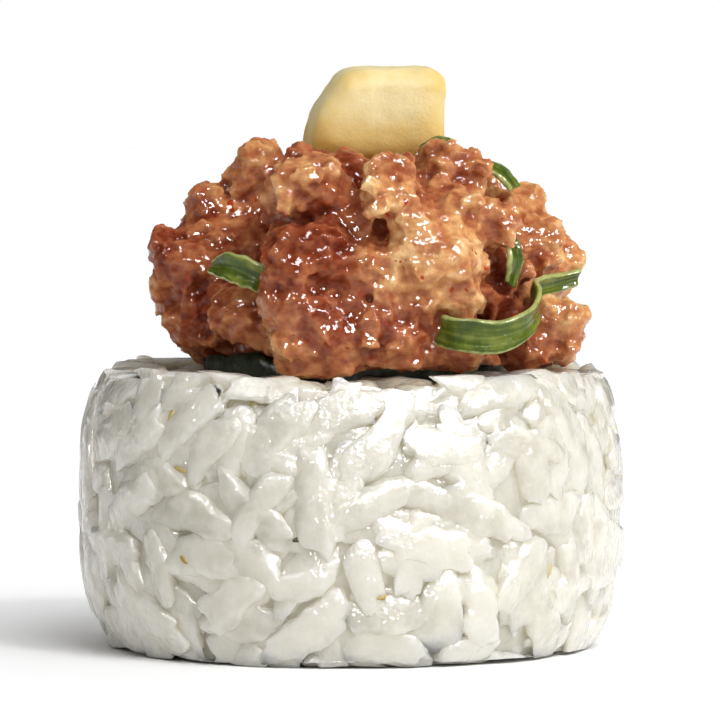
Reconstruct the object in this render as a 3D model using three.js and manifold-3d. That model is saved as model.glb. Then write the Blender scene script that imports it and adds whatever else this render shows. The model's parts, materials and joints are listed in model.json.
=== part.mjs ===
// One piece of an inside-out tuna roll, standing on its cut end.
//
// A ring of pressed rice is wrapped round a sheet of seaweed. Chopped, dressed tuna fills the seaweed and
// heaps up over the top, with shreds of spring onion in it and a yellow cube on its crown.
// Units are millimetres, +Z is up, and the origin is the middle of the base. -Y is the front.
import * as THREE from "three";
import { mergeVertices } from "three/addons/utils/BufferGeometryUtils.js";
import Module from "manifold-3d";

const wasm = await Module();
wasm.setup();

// The roll: a barrel of rice whose shoulders round in towards both cut ends.
const ROLL_DIAMETER = 42.6;
const ROLL_HEIGHT = 22;
const SHOULDER_DROP = 2.2;
const SHOULDER_POWER = 3.2;

// One cooked grain, and how many of them show.
const GRAIN_LENGTH = 7.8;
const GRAIN_WIDTH = 3.3;
const GRAIN_THICKNESS = 2.8;
const GRAIN_SIDES = 5;
const GRAIN_RINGS = 4;
const SIDE_GRAINS = 96;
const END_OVERLAP = 1.2;
const TOP_GRAINS = 16;
const GRAIN_SIZE_SPREAD = 0.3;
const GRAIN_TILT = 0.35;
const PRESS_DEPTH = 0.5;
const CORE_INSET = 1.5;
const CORE_SIDES = 48;

// The seaweed sheet inside the rice, and the gap between pieces that touch.
const NORI_RADIUS = 11.6;
const NORI_THICKNESS = 0.5;
const NORI_STANDS_PROUD = 0.6;
const NORI_CLEAR_OF_BASE = 0.4;
const GAP = 0.3;

// The heap of tuna: its middle, how finely it is faceted, and the small crags all over its chunks.
const HEAP_MIDDLE = new THREE.Vector3(1, 0, 28);
const HEAP_DETAIL = 11;
const CRAGS = 210;
const CRAG_RADIUS = 2.3;
const CRAG_HEIGHT = 1.1;
const CRAG_SCATTER = 0.12;

// The main chunks of tuna as x, y, z and radius, from the heart of the heap outwards.
const CHUNKS = {
  heart: [1, 0, 28, 9.8],
  leftFlank: [-10.2, 0.5, 29.2, 5.6],
  leftFoot: [-9, -3.2, 25.8, 4.2],
  leftShoulder: [-10.2, 2, 31.9, 3.7],
  leftPeak: [-6.5, 1, 36.3, 3],
  browFront: [-3.6, -8.8, 34.5, 3.9],
  darkFront: [-2.6, -11.2, 29.6, 4.6],
  saucedFront: [5.2, -10.2, 30.2, 5.6],
  crownFront: [3, -8.3, 34.6, 3.6],
  crownRight: [7.6, -2, 35.8, 3.6],
  rightBrow: [10.5, -3.5, 33.6, 3.5],
  footFront: [-1.8, -10.6, 25, 4],
  footMiddle: [4, -10.2, 25.2, 4.3],
  rightHollow: [10.6, -7, 28.8, 3.9],
  rightFlank: [13.2, -0.5, 30.6, 4],
  rightHorn: [16.5, -0.5, 31.1, 1.7],
  rightPeak: [13.6, 0.5, 34.2, 1.9],
  rightFoot: [15.3, -6.2, 24.7, 3.3],
  rightBase: [12, -4.5, 25.2, 3.8],
  leftBase: [-7.2, -8.2, 25.6, 4],
  backLeft: [-8, 7.5, 28.5, 5.2],
  backMiddle: [0, 10.5, 28.6, 5.4],
  backRight: [8.4, 8, 29, 5.4],
  backBrow: [-3.4, 7.4, 34, 4.2],
  backCrown: [5, 6.4, 34.4, 4.3],
  backFoot: [13, 5.2, 26, 4.4],
  backBase: [3, 11.2, 25, 4.2],
  backCorner: [-6.4, 9.8, 25, 3.9],
  backHeel: [-10.4, 11.8, 26.4, 3.7],
};

// The tan crumb of dressing that stands on the front of the crown.
const CRUMB = { at: [2.6, -12, 35.1], size: 3.1, turn: [0.3, 0.5, 0.35] };

// Spring onion shreds. Each follows a path, and its width lies along a given direction.
const SHRED_THICKNESS = 0.7;
const SHRED_STEP = 0.9;
const SHREDS = {
  spring_onion_curl: {
    path: [
      [6.7, -13.3, 25.1],
      [8.3, -14.7, 24.7],
      [10.9, -14.9, 24.6],
      [13.1, -13.6, 25.4],
      [14, -11, 26.8],
      [13.9, -8, 27.8],
      [15.6, -5.6, 28.2],
      [17.5, -4.6, 28.7],
    ],
    across: [0.05, -0.15, 1],
    width: 2.5,
  },
  spring_onion_fold: {
    path: [
      [-10.5, -9.2, 29.6],
      [-9.2, -11, 29.7],
      [-7.6, -12, 29.2],
      [-6.3, -11.8, 28.5],
    ],
    across: [0.35, -0.25, 0.9],
    width: 2.4,
  },
  spring_onion_upright: {
    path: [
      [11.9, -9.8, 32],
      [12.3, -10.4, 30.3],
      [11.9, -10.2, 28.3],
    ],
    across: [0.6, 0.8, 0],
    width: 1.9,
  },
  spring_onion_brow: {
    path: [
      [9.9, -5.6, 37.2],
      [11.4, -5.9, 36.6],
      [12.4, -5.5, 35.4],
    ],
    across: [0.3, 0.9, 0.4],
    width: 1.9,
  },
  spring_onion_crown: {
    path: [
      [5.2, -4.9, 38.1],
      [6.5, -5.1, 38.8],
      [7.9, -4.7, 38.6],
    ],
    across: [0, 0.9, 0.5],
    width: 1.7,
  },
};

// Shreds on the far sides: each repeats one from the list above, turned about the roll's axis by an angle
// in degrees and moved inward until it lies as deep in the heap.
const TURNED_SHREDS = {
  spring_onion_back_curl: { like: "spring_onion_curl", turn: 150, inward: 0.7 },
  spring_onion_back_fold: { like: "spring_onion_fold", turn: 185, inward: -0.6 },
  spring_onion_left_upright: { like: "spring_onion_upright", turn: 195, inward: 0.3 },
  spring_onion_back_brow: { like: "spring_onion_brow", turn: 120, inward: 1.8 },
};

// The yellow cube: its front face has one long sloping side, and all its edges are soft.
const CUBE_WIDTH = 10.9;
const CUBE_TOP_WIDTH = 8.1;
const CUBE_HEIGHT = 7.5;
const CUBE_DEPTH = 8.8;
const CUBE_SLOPE_START = 3;
const CUBE_CORNER = 1.7;
const CUBE_BEVEL = 1.1;
const CUBE_AT = [1.75, 1.2, 41];
const CUBE_TURN = [0, 0, 0.1];

const GOLDEN_ANGLE = Math.PI * (3 - Math.sqrt(5));

const MATERIALS = {
  rice: { color: 0xe9e7de, roughness: 0.4, metalness: 0 },
  nori: { color: 0x23301f, roughness: 0.6, metalness: 0 },
  tuna: { color: 0xa85a3f, roughness: 0.25, metalness: 0 },
  spring_onion: { color: 0x5a8f3a, roughness: 0.35, metalness: 0 },
  yellow_cube: { color: 0xe6cd83, roughness: 0.4, metalness: 0 },
};

// A repeatable draw between 0 and 1 for the thing of a given number. Salt separates draws for one thing.
function draw(number, salt) {
  const wave = Math.sin(number * 12.9898 + salt * 78.233) * 43758.5453;
  return wave - Math.floor(wave);
}

// A closed three.js geometry as a solid that can be joined and cut.
function solidOf(geometry) {
  const bare = geometry.clone();
  bare.deleteAttribute("normal");
  bare.deleteAttribute("uv");
  const merged = mergeVertices(bare, 1e-4);
  return new wasm.Manifold(
    new wasm.Mesh({
      numProp: 3,
      vertProperties: new Float32Array(merged.attributes.position.array),
      triVerts: new Uint32Array(merged.index.array),
    }),
  );
}

// A solid's surface as a three.js geometry.
function geometryOf(solid) {
  const { vertProperties, triVerts } = solid.getMesh();
  const geometry = new THREE.BufferGeometry();
  geometry.setAttribute("position", new THREE.BufferAttribute(vertProperties, 3));
  geometry.setIndex(new THREE.BufferAttribute(triVerts, 1));
  geometry.computeVertexNormals();
  return geometry;
}

function joined(solids) {
  return solids.reduce((whole, piece) => whole.add(piece));
}

// The largest body of a solid: loose scraps are dropped, and a sealed hollow inside it is filled.
function mainBody(solid) {
  const bodies = solid.decompose();
  return bodies.reduce((largest, body) => (body.volume() > largest.volume() ? body : largest));
}

// Moves every vertex of a geometry to where a function puts it.
function reshape(geometry, move) {
  const position = geometry.attributes.position;
  const point = new THREE.Vector3();
  for (let i = 0; i < position.count; i++) {
    move(point.fromBufferAttribute(position, i));
    position.setXYZ(i, point.x, point.y, point.z);
  }
  return geometry;
}

// An upright disc or drum between two heights.
function drum(radius, low, high, sides = CORE_SIDES) {
  const geometry = new THREE.CylinderGeometry(radius, radius, high - low, sides);
  return geometry.rotateX(Math.PI / 2).translate(0, 0, (low + high) / 2);
}

// The roll's outline: its radius at a height.
function rollRadius(z) {
  const fromMiddle = Math.min(1, Math.abs((2 * z) / ROLL_HEIGHT - 1));
  return ROLL_DIAMETER / 2 - SHOULDER_DROP * fromMiddle ** SHOULDER_POWER;
}

// Rolled in a mat, the grains that would stand past the outline are squeezed flat against it.
function pressIntoRoll(point) {
  const radius = Math.hypot(point.x, point.y);
  const limit = rollRadius(point.z);
  const depth = PRESS_DEPTH * Math.log1p(Math.exp((limit - radius) / PRESS_DEPTH));
  const squeeze = (limit - depth) / radius;
  point.x *= squeeze;
  point.y *= squeeze;
}

// One grain, lying with its flat side along a surface whose outward direction is given.
function grain(number, at, outward, alongSurface) {
  const size = 1 + GRAIN_SIZE_SPREAD * (draw(number, 1) - 0.6);
  const turn = Math.PI * draw(number, 2);
  const up = new THREE.Vector3().crossVectors(outward, alongSurface);
  const length = alongSurface.clone().multiplyScalar(Math.cos(turn)).addScaledVector(up, Math.sin(turn));
  length.addScaledVector(outward, GRAIN_TILT * (draw(number, 3) - 0.5)).normalize();
  const width = new THREE.Vector3().crossVectors(length, outward).normalize();
  const thickness = new THREE.Vector3().crossVectors(width, length);
  const geometry = new THREE.SphereGeometry(0.5, GRAIN_SIDES, GRAIN_RINGS);
  geometry.scale(GRAIN_WIDTH * size, GRAIN_LENGTH * size, GRAIN_THICKNESS);
  geometry.applyMatrix4(new THREE.Matrix4().makeBasis(width, length, thickness).setPosition(at));
  return solidOf(reshape(geometry, pressIntoRoll));
}

// Grains round the side of the roll, spread evenly by the golden angle.
function sideGrains() {
  return Array.from({ length: SIDE_GRAINS }, (_, i) => {
    const angle = i * GOLDEN_ANGLE;
    const z = (ROLL_HEIGHT + 2 * END_OVERLAP) * ((i + 0.5) / SIDE_GRAINS) - END_OVERLAP;
    const outward = new THREE.Vector3(Math.cos(angle), Math.sin(angle), 0);
    const around = new THREE.Vector3(-Math.sin(angle), Math.cos(angle), 0);
    const sink = GRAIN_THICKNESS * (0.3 + 0.3 * draw(i, 4));
    const at = outward.clone().multiplyScalar(rollRadius(z) - sink).setZ(z);
    return grain(i, at, outward, around);
  });
}

// Grains that lie on the top cut, between the seaweed and the rim.
function topGrains() {
  const inner = (NORI_RADIUS + GRAIN_WIDTH / 2) ** 2;
  const outer = (rollRadius(ROLL_HEIGHT) - GRAIN_WIDTH / 2) ** 2;
  return Array.from({ length: TOP_GRAINS }, (_, i) => {
    const angle = i * GOLDEN_ANGLE;
    const radius = Math.sqrt(inner + ((outer - inner) * (i + 0.5)) / TOP_GRAINS);
    const lift = ROLL_HEIGHT - GRAIN_THICKNESS * (0.35 + 0.2 * draw(i, 5));
    const at = new THREE.Vector3(radius * Math.cos(angle), radius * Math.sin(angle), lift);
    const around = new THREE.Vector3(-Math.sin(angle), Math.cos(angle), 0);
    return grain(SIDE_GRAINS + i, at, new THREE.Vector3(0, 0, 1), around);
  });
}

// The rice: a core with the grains that show fused on, cut flat at both ends and bored for the filling.
function riceGeometry() {
  const coreTop = ROLL_HEIGHT - CORE_INSET;
  const heights = [0, 0.15, 0.4, 0.7, 0.9, 1].map((share) => share * coreTop);
  const wall = heights.map((z) => new THREE.Vector2(rollRadius(z) - CORE_INSET, z));
  const profile = [new THREE.Vector2(0, 0), ...wall, new THREE.Vector2(0, coreTop)];
  const core = new THREE.LatheGeometry(profile, CORE_SIDES).rotateX(Math.PI / 2);
  const slab = drum(ROLL_DIAMETER, 0, ROLL_HEIGHT);
  const bore = drum(NORI_RADIUS + GAP, -ROLL_HEIGHT, 2 * ROLL_HEIGHT);
  const whole = joined([solidOf(core), ...sideGrains(), ...topGrains()]);
  return geometryOf(mainBody(whole.intersect(solidOf(slab)).subtract(solidOf(bore))));
}

// The seaweed: a thin tube that runs through the roll and stands a little proud of the rice on top.
function noriGeometry(margin = 0) {
  const inner = NORI_RADIUS - NORI_THICKNESS - margin;
  const outer = NORI_RADIUS + margin;
  const top = ROLL_HEIGHT + NORI_STANDS_PROUD + margin;
  const section = [
    [inner, NORI_CLEAR_OF_BASE],
    [outer, NORI_CLEAR_OF_BASE],
    [outer, top],
    [inner, top],
    [inner, NORI_CLEAR_OF_BASE],
  ].map(([radius, z]) => new THREE.Vector2(radius, z));
  return new THREE.LatheGeometry(section, CORE_SIDES).rotateX(Math.PI / 2);
}

// How far the chunks reach from the heap's middle in a direction.
function chunkReach(direction) {
  let reach = 0;
  for (const [x, y, z, radius] of Object.values(CHUNKS)) {
    const toChunk = new THREE.Vector3(x, y, z).sub(HEAP_MIDDLE);
    const along = toChunk.dot(direction);
    const aside = toChunk.lengthSq() - along * along;
    if (aside < radius * radius) reach = Math.max(reach, along + Math.sqrt(radius * radius - aside));
  }
  return reach;
}

// The directions in which crags stand out from the heap's middle: an even spread, a little scattered.
function cragDirections() {
  return Array.from({ length: CRAGS }, (_, i) => {
    const angle = i * GOLDEN_ANGLE;
    const height = 1 - (2 * i + 1) / CRAGS;
    const across = Math.sqrt(1 - height * height);
    const direction = new THREE.Vector3(across * Math.cos(angle), across * Math.sin(angle), height);
    const scatter = new THREE.Vector3(draw(i, 6) - 0.5, draw(i, 7) - 0.5, draw(i, 8) - 0.5);
    return direction.addScaledVector(scatter, 2 * CRAG_SCATTER).normalize();
  });
}

// The heap: a ball of fine facets, each corner pushed out to the chunk and the crag that show there.
function heapGeometry() {
  const directions = cragDirections();
  return reshape(new THREE.IcosahedronGeometry(1, HEAP_DETAIL), (point) => {
    const direction = point.clone().normalize();
    const reach = chunkReach(direction);
    const nearest = Math.min(...directions.map((crag) => crag.angleTo(direction)));
    const aside = (nearest * reach) / CRAG_RADIUS;
    const crag = CRAG_HEIGHT * Math.max(0, 1 - aside * aside);
    point.copy(direction).multiplyScalar(reach + crag - CRAG_HEIGHT / 2).add(HEAP_MIDDLE);
  });
}

// The crumb: a small block with its corners drawn in towards a ball.
function crumbGeometry() {
  const geometry = new THREE.BoxGeometry(CRUMB.size, CRUMB.size, CRUMB.size, 2, 2, 2);
  reshape(geometry, (point) => point.lerp(point.clone().setLength(CRUMB.size * 0.62), 0.5));
  geometry.applyMatrix4(new THREE.Matrix4().makeRotationFromEuler(new THREE.Euler(...CRUMB.turn)));
  return geometry.translate(...CRUMB.at);
}

// The tuna: a plug inside the seaweed and the heap above it, with room left for the pieces that it holds.
function tunaGeometry(hollows) {
  const underside = ROLL_HEIGHT + GAP;
  const plug = drum(NORI_RADIUS - NORI_THICKNESS - GAP, 0, underside + 1);
  const belowHeap = drum(2 * ROLL_DIAMETER, -ROLL_HEIGHT, underside);
  const heap = solidOf(heapGeometry()).add(solidOf(crumbGeometry())).subtract(solidOf(belowHeap));
  const whole = hollows.reduce((left, hollow) => left.subtract(hollow), heap.add(solidOf(plug)));
  return geometryOf(mainBody(whole));
}

// A shred: a thin strip along a smooth path. Grown by a margin, it is the slot that the shred lies in.
function shredGeometry({ path, across, width }, margin = 0) {
  const curve = new THREE.CatmullRomCurve3(path.map((p) => new THREE.Vector3(...p)), false, "centripetal");
  const steps = Math.ceil(curve.getLength() / SHRED_STEP);
  const corners = [];
  const faces = [];
  for (let step = 0; step <= steps; step++) {
    const along = curve.getTangentAt(step / steps);
    const edge = new THREE.Vector3(...across).projectOnPlane(along).normalize();
    const flat = new THREE.Vector3().crossVectors(along, edge);
    const end = step === 0 ? -margin : step === steps ? margin : 0;
    const middle = curve.getPointAt(step / steps).addScaledVector(along, end);
    for (const [side, face] of [[-1, -1], [1, -1], [1, 1], [-1, 1]]) {
      const corner = middle.clone().addScaledVector(edge, side * (width / 2 + margin));
      corners.push(...corner.addScaledVector(flat, face * (SHRED_THICKNESS / 2 + margin)).toArray());
    }
  }
  const quad = (a, b, c, d) => faces.push(a, b, c, a, c, d);
  quad(3, 2, 1, 0);
  for (let step = 0; step < steps; step++) {
    for (let side = 0; side < 4; side++) {
      const here = 4 * step + side;
      const next = 4 * step + ((side + 1) % 4);
      quad(here, next, next + 4, here + 4);
    }
  }
  quad(4 * steps, 4 * steps + 1, 4 * steps + 2, 4 * steps + 3);
  const geometry = new THREE.BufferGeometry();
  geometry.setAttribute("position", new THREE.Float32BufferAttribute(corners, 3));
  geometry.setIndex(faces);
  geometry.computeVertexNormals();
  return geometry;
}

// A closed outline through corners, with each corner rounded off over a given length of its sides.
function softOutline(corners, rounding) {
  const outline = new THREE.Shape();
  corners.forEach((corner, i) => {
    const before = corners.at(i - 1).clone().sub(corner).setLength(rounding).add(corner);
    const after = corners[(i + 1) % corners.length].clone().sub(corner).setLength(rounding).add(corner);
    if (i === 0) outline.moveTo(before.x, before.y);
    else outline.lineTo(before.x, before.y);
    outline.quadraticCurveTo(corner.x, corner.y, after.x, after.y);
  });
  return outline;
}

// The cube, about its own middle, grown by a margin for the hollow that it sits in.
function cubeGeometry(margin = 0) {
  const right = CUBE_WIDTH / 2 - CUBE_BEVEL;
  const top = CUBE_HEIGHT / 2 - CUBE_BEVEL;
  const topLeft = right - CUBE_TOP_WIDTH + 2 * CUBE_BEVEL;
  const corners = [
    [-right, -top],
    [right, -top],
    [right, top],
    [topLeft, top],
    [-right, CUBE_SLOPE_START - top],
  ].map(([x, z]) => new THREE.Vector2(x, z));
  const length = CUBE_DEPTH - 2 * CUBE_BEVEL;
  const geometry = new THREE.ExtrudeGeometry(softOutline(corners, CUBE_CORNER - CUBE_BEVEL / 2), {
    depth: length,
    curveSegments: 3,
    bevelThickness: CUBE_BEVEL,
    bevelSize: CUBE_BEVEL,
    bevelSegments: 2,
  });
  geometry.translate(0, 0, -length / 2).rotateX(Math.PI / 2);
  const growth = [CUBE_WIDTH, CUBE_DEPTH, CUBE_HEIGHT].map((side) => 1 + (2 * margin) / side);
  return geometry.scale(...growth);
}

function mesh(name, geometry, look) {
  const made = new THREE.Mesh(geometry, new THREE.MeshStandardMaterial(MATERIALS[look]));
  made.name = name;
  return made;
}

// A shred like another, moved inward and turned about the roll's axis.
function turnedShred({ path, across, width }, { turn, inward }) {
  const turning = new THREE.Matrix4().makeRotationZ(THREE.MathUtils.degToRad(turn));
  const outward = new THREE.Vector3(...path[Math.floor(path.length / 2)]).setZ(0).normalize();
  const placed = path.map((p) => new THREE.Vector3(...p).addScaledVector(outward, -inward));
  return {
    path: placed.map((place) => place.applyMatrix4(turning).toArray()),
    across: new THREE.Vector3(...across).applyMatrix4(turning).toArray(),
    width,
  };
}

// Every shred as a mesh: those in front as listed, then those that repeat them round the heap.
function shredMeshes(margin = 0) {
  const turned = Object.entries(TURNED_SHREDS).map(([name, place]) => {
    return [name, turnedShred(SHREDS[place.like], place)];
  });
  return [...Object.entries(SHREDS), ...turned].map(([name, shred]) => {
    return mesh(name, shredGeometry(shred, margin), "spring_onion");
  });
}

function cubeMesh(margin = 0) {
  const made = mesh("yellow_cube", cubeGeometry(margin), "yellow_cube");
  made.position.set(...CUBE_AT);
  made.rotation.set(...CUBE_TURN);
  return made;
}

// The room that a placed mesh takes up, as a solid to cut away.
function roomFor(placed) {
  placed.updateMatrixWorld(true);
  return solidOf(placed.geometry.clone().applyMatrix4(placed.matrixWorld));
}

const roll = new THREE.Group();
roll.add(mesh("rice", riceGeometry(), "rice"));
roll.add(mesh("nori", noriGeometry(), "nori"));

const topping = new THREE.Group();
const hollows = [...shredMeshes(GAP), cubeMesh(GAP), mesh("nori", noriGeometry(GAP), "nori")].map(roomFor);
topping.add(mesh("tuna", tunaGeometry(hollows), "tuna"));
topping.add(...shredMeshes());
topping.add(cubeMesh());

const tunaRoll = new THREE.Group();
tunaRoll.add(roll, topping);

export default tunaRoll;
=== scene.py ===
# %% [markdown]
# # A tuna roll
# One piece of an inside-out sushi roll stands on its cut end. Pressed rice is wrapped round a sheet of
# seaweed, and chopped, dressed tuna fills the seaweed and heaps up over the top. Shreds of spring onion
# lie in the heap, and a soft yellow cube crowns it.
#
# The solids come in as a fixed frame, so every piece below is made where its solid already stands.

# %% Load the frame
import json
import math

import bpy
import numpy as np
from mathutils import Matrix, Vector
from mathutils.kdtree import KDTree

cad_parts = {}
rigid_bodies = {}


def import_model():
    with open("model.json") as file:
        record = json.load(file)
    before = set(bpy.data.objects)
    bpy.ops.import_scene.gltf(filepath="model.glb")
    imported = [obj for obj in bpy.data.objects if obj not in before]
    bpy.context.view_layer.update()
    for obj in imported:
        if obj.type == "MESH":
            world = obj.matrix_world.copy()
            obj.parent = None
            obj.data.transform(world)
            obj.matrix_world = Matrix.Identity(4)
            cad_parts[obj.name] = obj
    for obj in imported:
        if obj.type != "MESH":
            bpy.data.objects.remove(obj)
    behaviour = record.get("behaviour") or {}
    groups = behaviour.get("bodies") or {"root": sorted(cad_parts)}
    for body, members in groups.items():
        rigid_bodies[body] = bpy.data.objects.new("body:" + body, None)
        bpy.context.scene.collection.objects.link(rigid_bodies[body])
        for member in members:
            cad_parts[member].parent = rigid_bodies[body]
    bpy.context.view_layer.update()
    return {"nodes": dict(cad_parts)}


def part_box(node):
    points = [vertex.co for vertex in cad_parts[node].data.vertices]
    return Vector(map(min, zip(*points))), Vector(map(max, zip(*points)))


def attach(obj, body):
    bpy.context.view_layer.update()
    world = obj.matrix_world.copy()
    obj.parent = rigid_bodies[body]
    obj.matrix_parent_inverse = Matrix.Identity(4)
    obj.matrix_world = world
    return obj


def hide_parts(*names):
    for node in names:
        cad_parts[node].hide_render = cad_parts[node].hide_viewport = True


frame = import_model()
MM = 0.001
print("solids:", sorted(frame["nodes"]))

# %% [markdown]
# ## Working by hand, in code
# An operator acts on whatever is selected, and loading leaves all the solids selected. So each step first
# makes its own piece the only selected one. Modifiers are applied as soon as they are set, which leaves
# plain meshes.

# %% Select, apply, and read or move points
def nothing_selected():
    """Go to object mode, with nothing selected."""
    if bpy.context.object and bpy.context.object.mode != "OBJECT":
        bpy.ops.object.mode_set(mode="OBJECT")
    bpy.ops.object.select_all(action="DESELECT")


def only(piece):
    """Make a piece the only selected object, in object mode."""
    nothing_selected()
    piece.select_set(True)
    bpy.context.view_layer.objects.active = piece


def apply(piece, kind, **settings):
    """Add a modifier, set it, and apply it."""
    only(piece)
    modifier = piece.modifiers.new(kind.title(), kind)
    for name, value in settings.items():
        setattr(modifier, name, value)
    bpy.ops.object.modifier_apply(modifier=modifier.name)


def points_of(piece):
    """A mesh's points in millimetres, as rows of x, y, z."""
    flat = np.empty(3 * len(piece.data.vertices))
    piece.data.vertices.foreach_get("co", flat)
    return flat.reshape(-1, 3) / MM


def move_points(piece, points):
    """Put a mesh's points at new places, given in millimetres."""
    piece.data.vertices.foreach_set("co", np.ravel(points * MM))
    piece.data.update()


def triangles_of(piece):
    return sum(len(face.vertices) - 2 for face in piece.data.polygons)


def count_of(piece):
    return f"{piece.name}: {triangles_of(piece)} triangles"


# %% [markdown]
# ## The studio
# The photograph is a close view with a long lens, from a little above the roll's top, on white. The lens
# and the camera's place come from the roll's own size in the picture: 12.9 pixels for a millimetre at its
# axis. The floor is plain and pale.
#
# A broad sun from the right and above shapes the object without glints, and a small one beside it does
# both. Three more suns only show as glints on wet surfaces, as lamps in front and at both sides would.
# The sky looks pure white behind the object. As a light it is dim on the left and bright on the right, so
# that the rice keeps its shading, and it is nearly dark in reflections, like a studio with dark screens
# beside the lamps.

# %% Camera
FRAME_PIXELS = 720
PIXELS_PER_MM = 12.9
CAMERA_DISTANCE = 430
CAMERA_HEIGHT = 44
AIM = Vector((0.7, 0, 22.06)) * MM
SENSOR = 36

nothing_selected()
eye = Vector((0, -CAMERA_DISTANCE, CAMERA_HEIGHT)) * MM
bpy.ops.object.camera_add(location=eye, rotation=(AIM - eye).to_track_quat("-Z", "Y").to_euler())
camera = bpy.context.object
camera.data.sensor_width = SENSOR
camera.data.lens = SENSOR * PIXELS_PER_MM * CAMERA_DISTANCE / FRAME_PIXELS
camera.data.clip_start = 0.01
bpy.context.scene.camera = camera
print(f"lens {camera.data.lens:.0f} mm")

# %% Floor
FLOOR_METRES = 6
FLOOR_COLOUR = (0.96, 0.96, 0.965, 1)

nothing_selected()
bpy.ops.mesh.primitive_plane_add(size=FLOOR_METRES)
floor = bpy.context.object
floor.name = "floor"
floor_paint = bpy.data.materials.new("pale_floor")
floor_paint.use_nodes = True
floor_shader = floor_paint.node_tree.nodes["Principled BSDF"]
floor_shader.inputs["Base Color"].default_value = FLOOR_COLOUR
floor_shader.inputs["Specular IOR Level"].default_value = 0
floor.data.materials.append(floor_paint)
print(f"floor of {FLOOR_METRES} m")


# %% Suns
def add_sun(coming_from, energy, degrees_wide, lights=True, shines=True):
    """A sun can light the surfaces, shine back from wet ones, or both."""
    nothing_selected()
    bpy.ops.object.light_add(type="SUN", rotation=Vector(coming_from).to_track_quat("Z", "Y").to_euler())
    sun = bpy.context.object
    sun.data.energy = energy
    sun.data.angle = math.radians(degrees_wide)
    sun.visible_diffuse = lights
    sun.visible_glossy = shines
    print(f"sun of {energy}, {degrees_wide} degrees wide")


add_sun((0.45, -0.6, 0.85), energy=1.3, degrees_wide=40, shines=False)
add_sun((0.5, -0.55, 0.75), energy=0.6, degrees_wide=6)
add_sun((0.15, -0.85, 0.5), energy=7.5, degrees_wide=20, lights=False)
add_sun((-0.6, -0.6, 0.7), energy=2, degrees_wide=9, lights=False)
add_sun((0.75, -0.6, 0.55), energy=5, degrees_wide=16, lights=False)

# %% Sky
SKY_SEEN = 1.0
SKY_REFLECTED = 0.04
SKY_ON_THE_LEFT = 0.12
SKY_ON_THE_RIGHT = 1.15

sky = bpy.data.worlds.new("white_studio")
sky.use_nodes = True
nodes, links = sky.node_tree.nodes, sky.node_tree.links


def choice(value, low, when_low, when_high):
    """A level that goes from one value to another as an input goes from its low end to 1."""
    node = nodes.new("ShaderNodeMapRange")
    node.inputs["From Min"].default_value = low
    links.new(value, node.inputs["Value"])
    for level, socket in ((when_low, "To Min"), (when_high, "To Max")):
        if isinstance(level, bpy.types.NodeSocket):
            links.new(level, node.inputs[socket])
        else:
            node.inputs[socket].default_value = level
    return node.outputs["Result"]


ray = nodes.new("ShaderNodeLightPath")
towards = nodes.new("ShaderNodeSeparateXYZ")
links.new(nodes.new("ShaderNodeTexCoord").outputs["Generated"], towards.inputs[0])
strength = choice(towards.outputs["X"], -1, SKY_ON_THE_LEFT, SKY_ON_THE_RIGHT)
strength = choice(ray.outputs["Is Glossy Ray"], 0, strength, SKY_REFLECTED)
strength = choice(ray.outputs["Is Camera Ray"], 0, strength, SKY_SEEN)
links.new(strength, nodes["Background"].inputs["Strength"])
nodes["Background"].inputs["Color"].default_value = (1, 1, 1, 1)
bpy.context.scene.world = sky
bpy.context.scene.view_settings.view_transform = "Standard"
print("sky from", SKY_ON_THE_LEFT, "on the left to", SKY_ON_THE_RIGHT, "on the right")

# %% [markdown]
# ## Wiring a finish
# Every finish below starts from one shader, with a few patterns wired into it. Written out node by node,
# such wiring is long and hard to read. So a small class holds one material: each of its methods adds a
# node, joins what it is given to it, and gives back what comes out. Values painted on a mesh's points
# tell the finish where it is.

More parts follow.
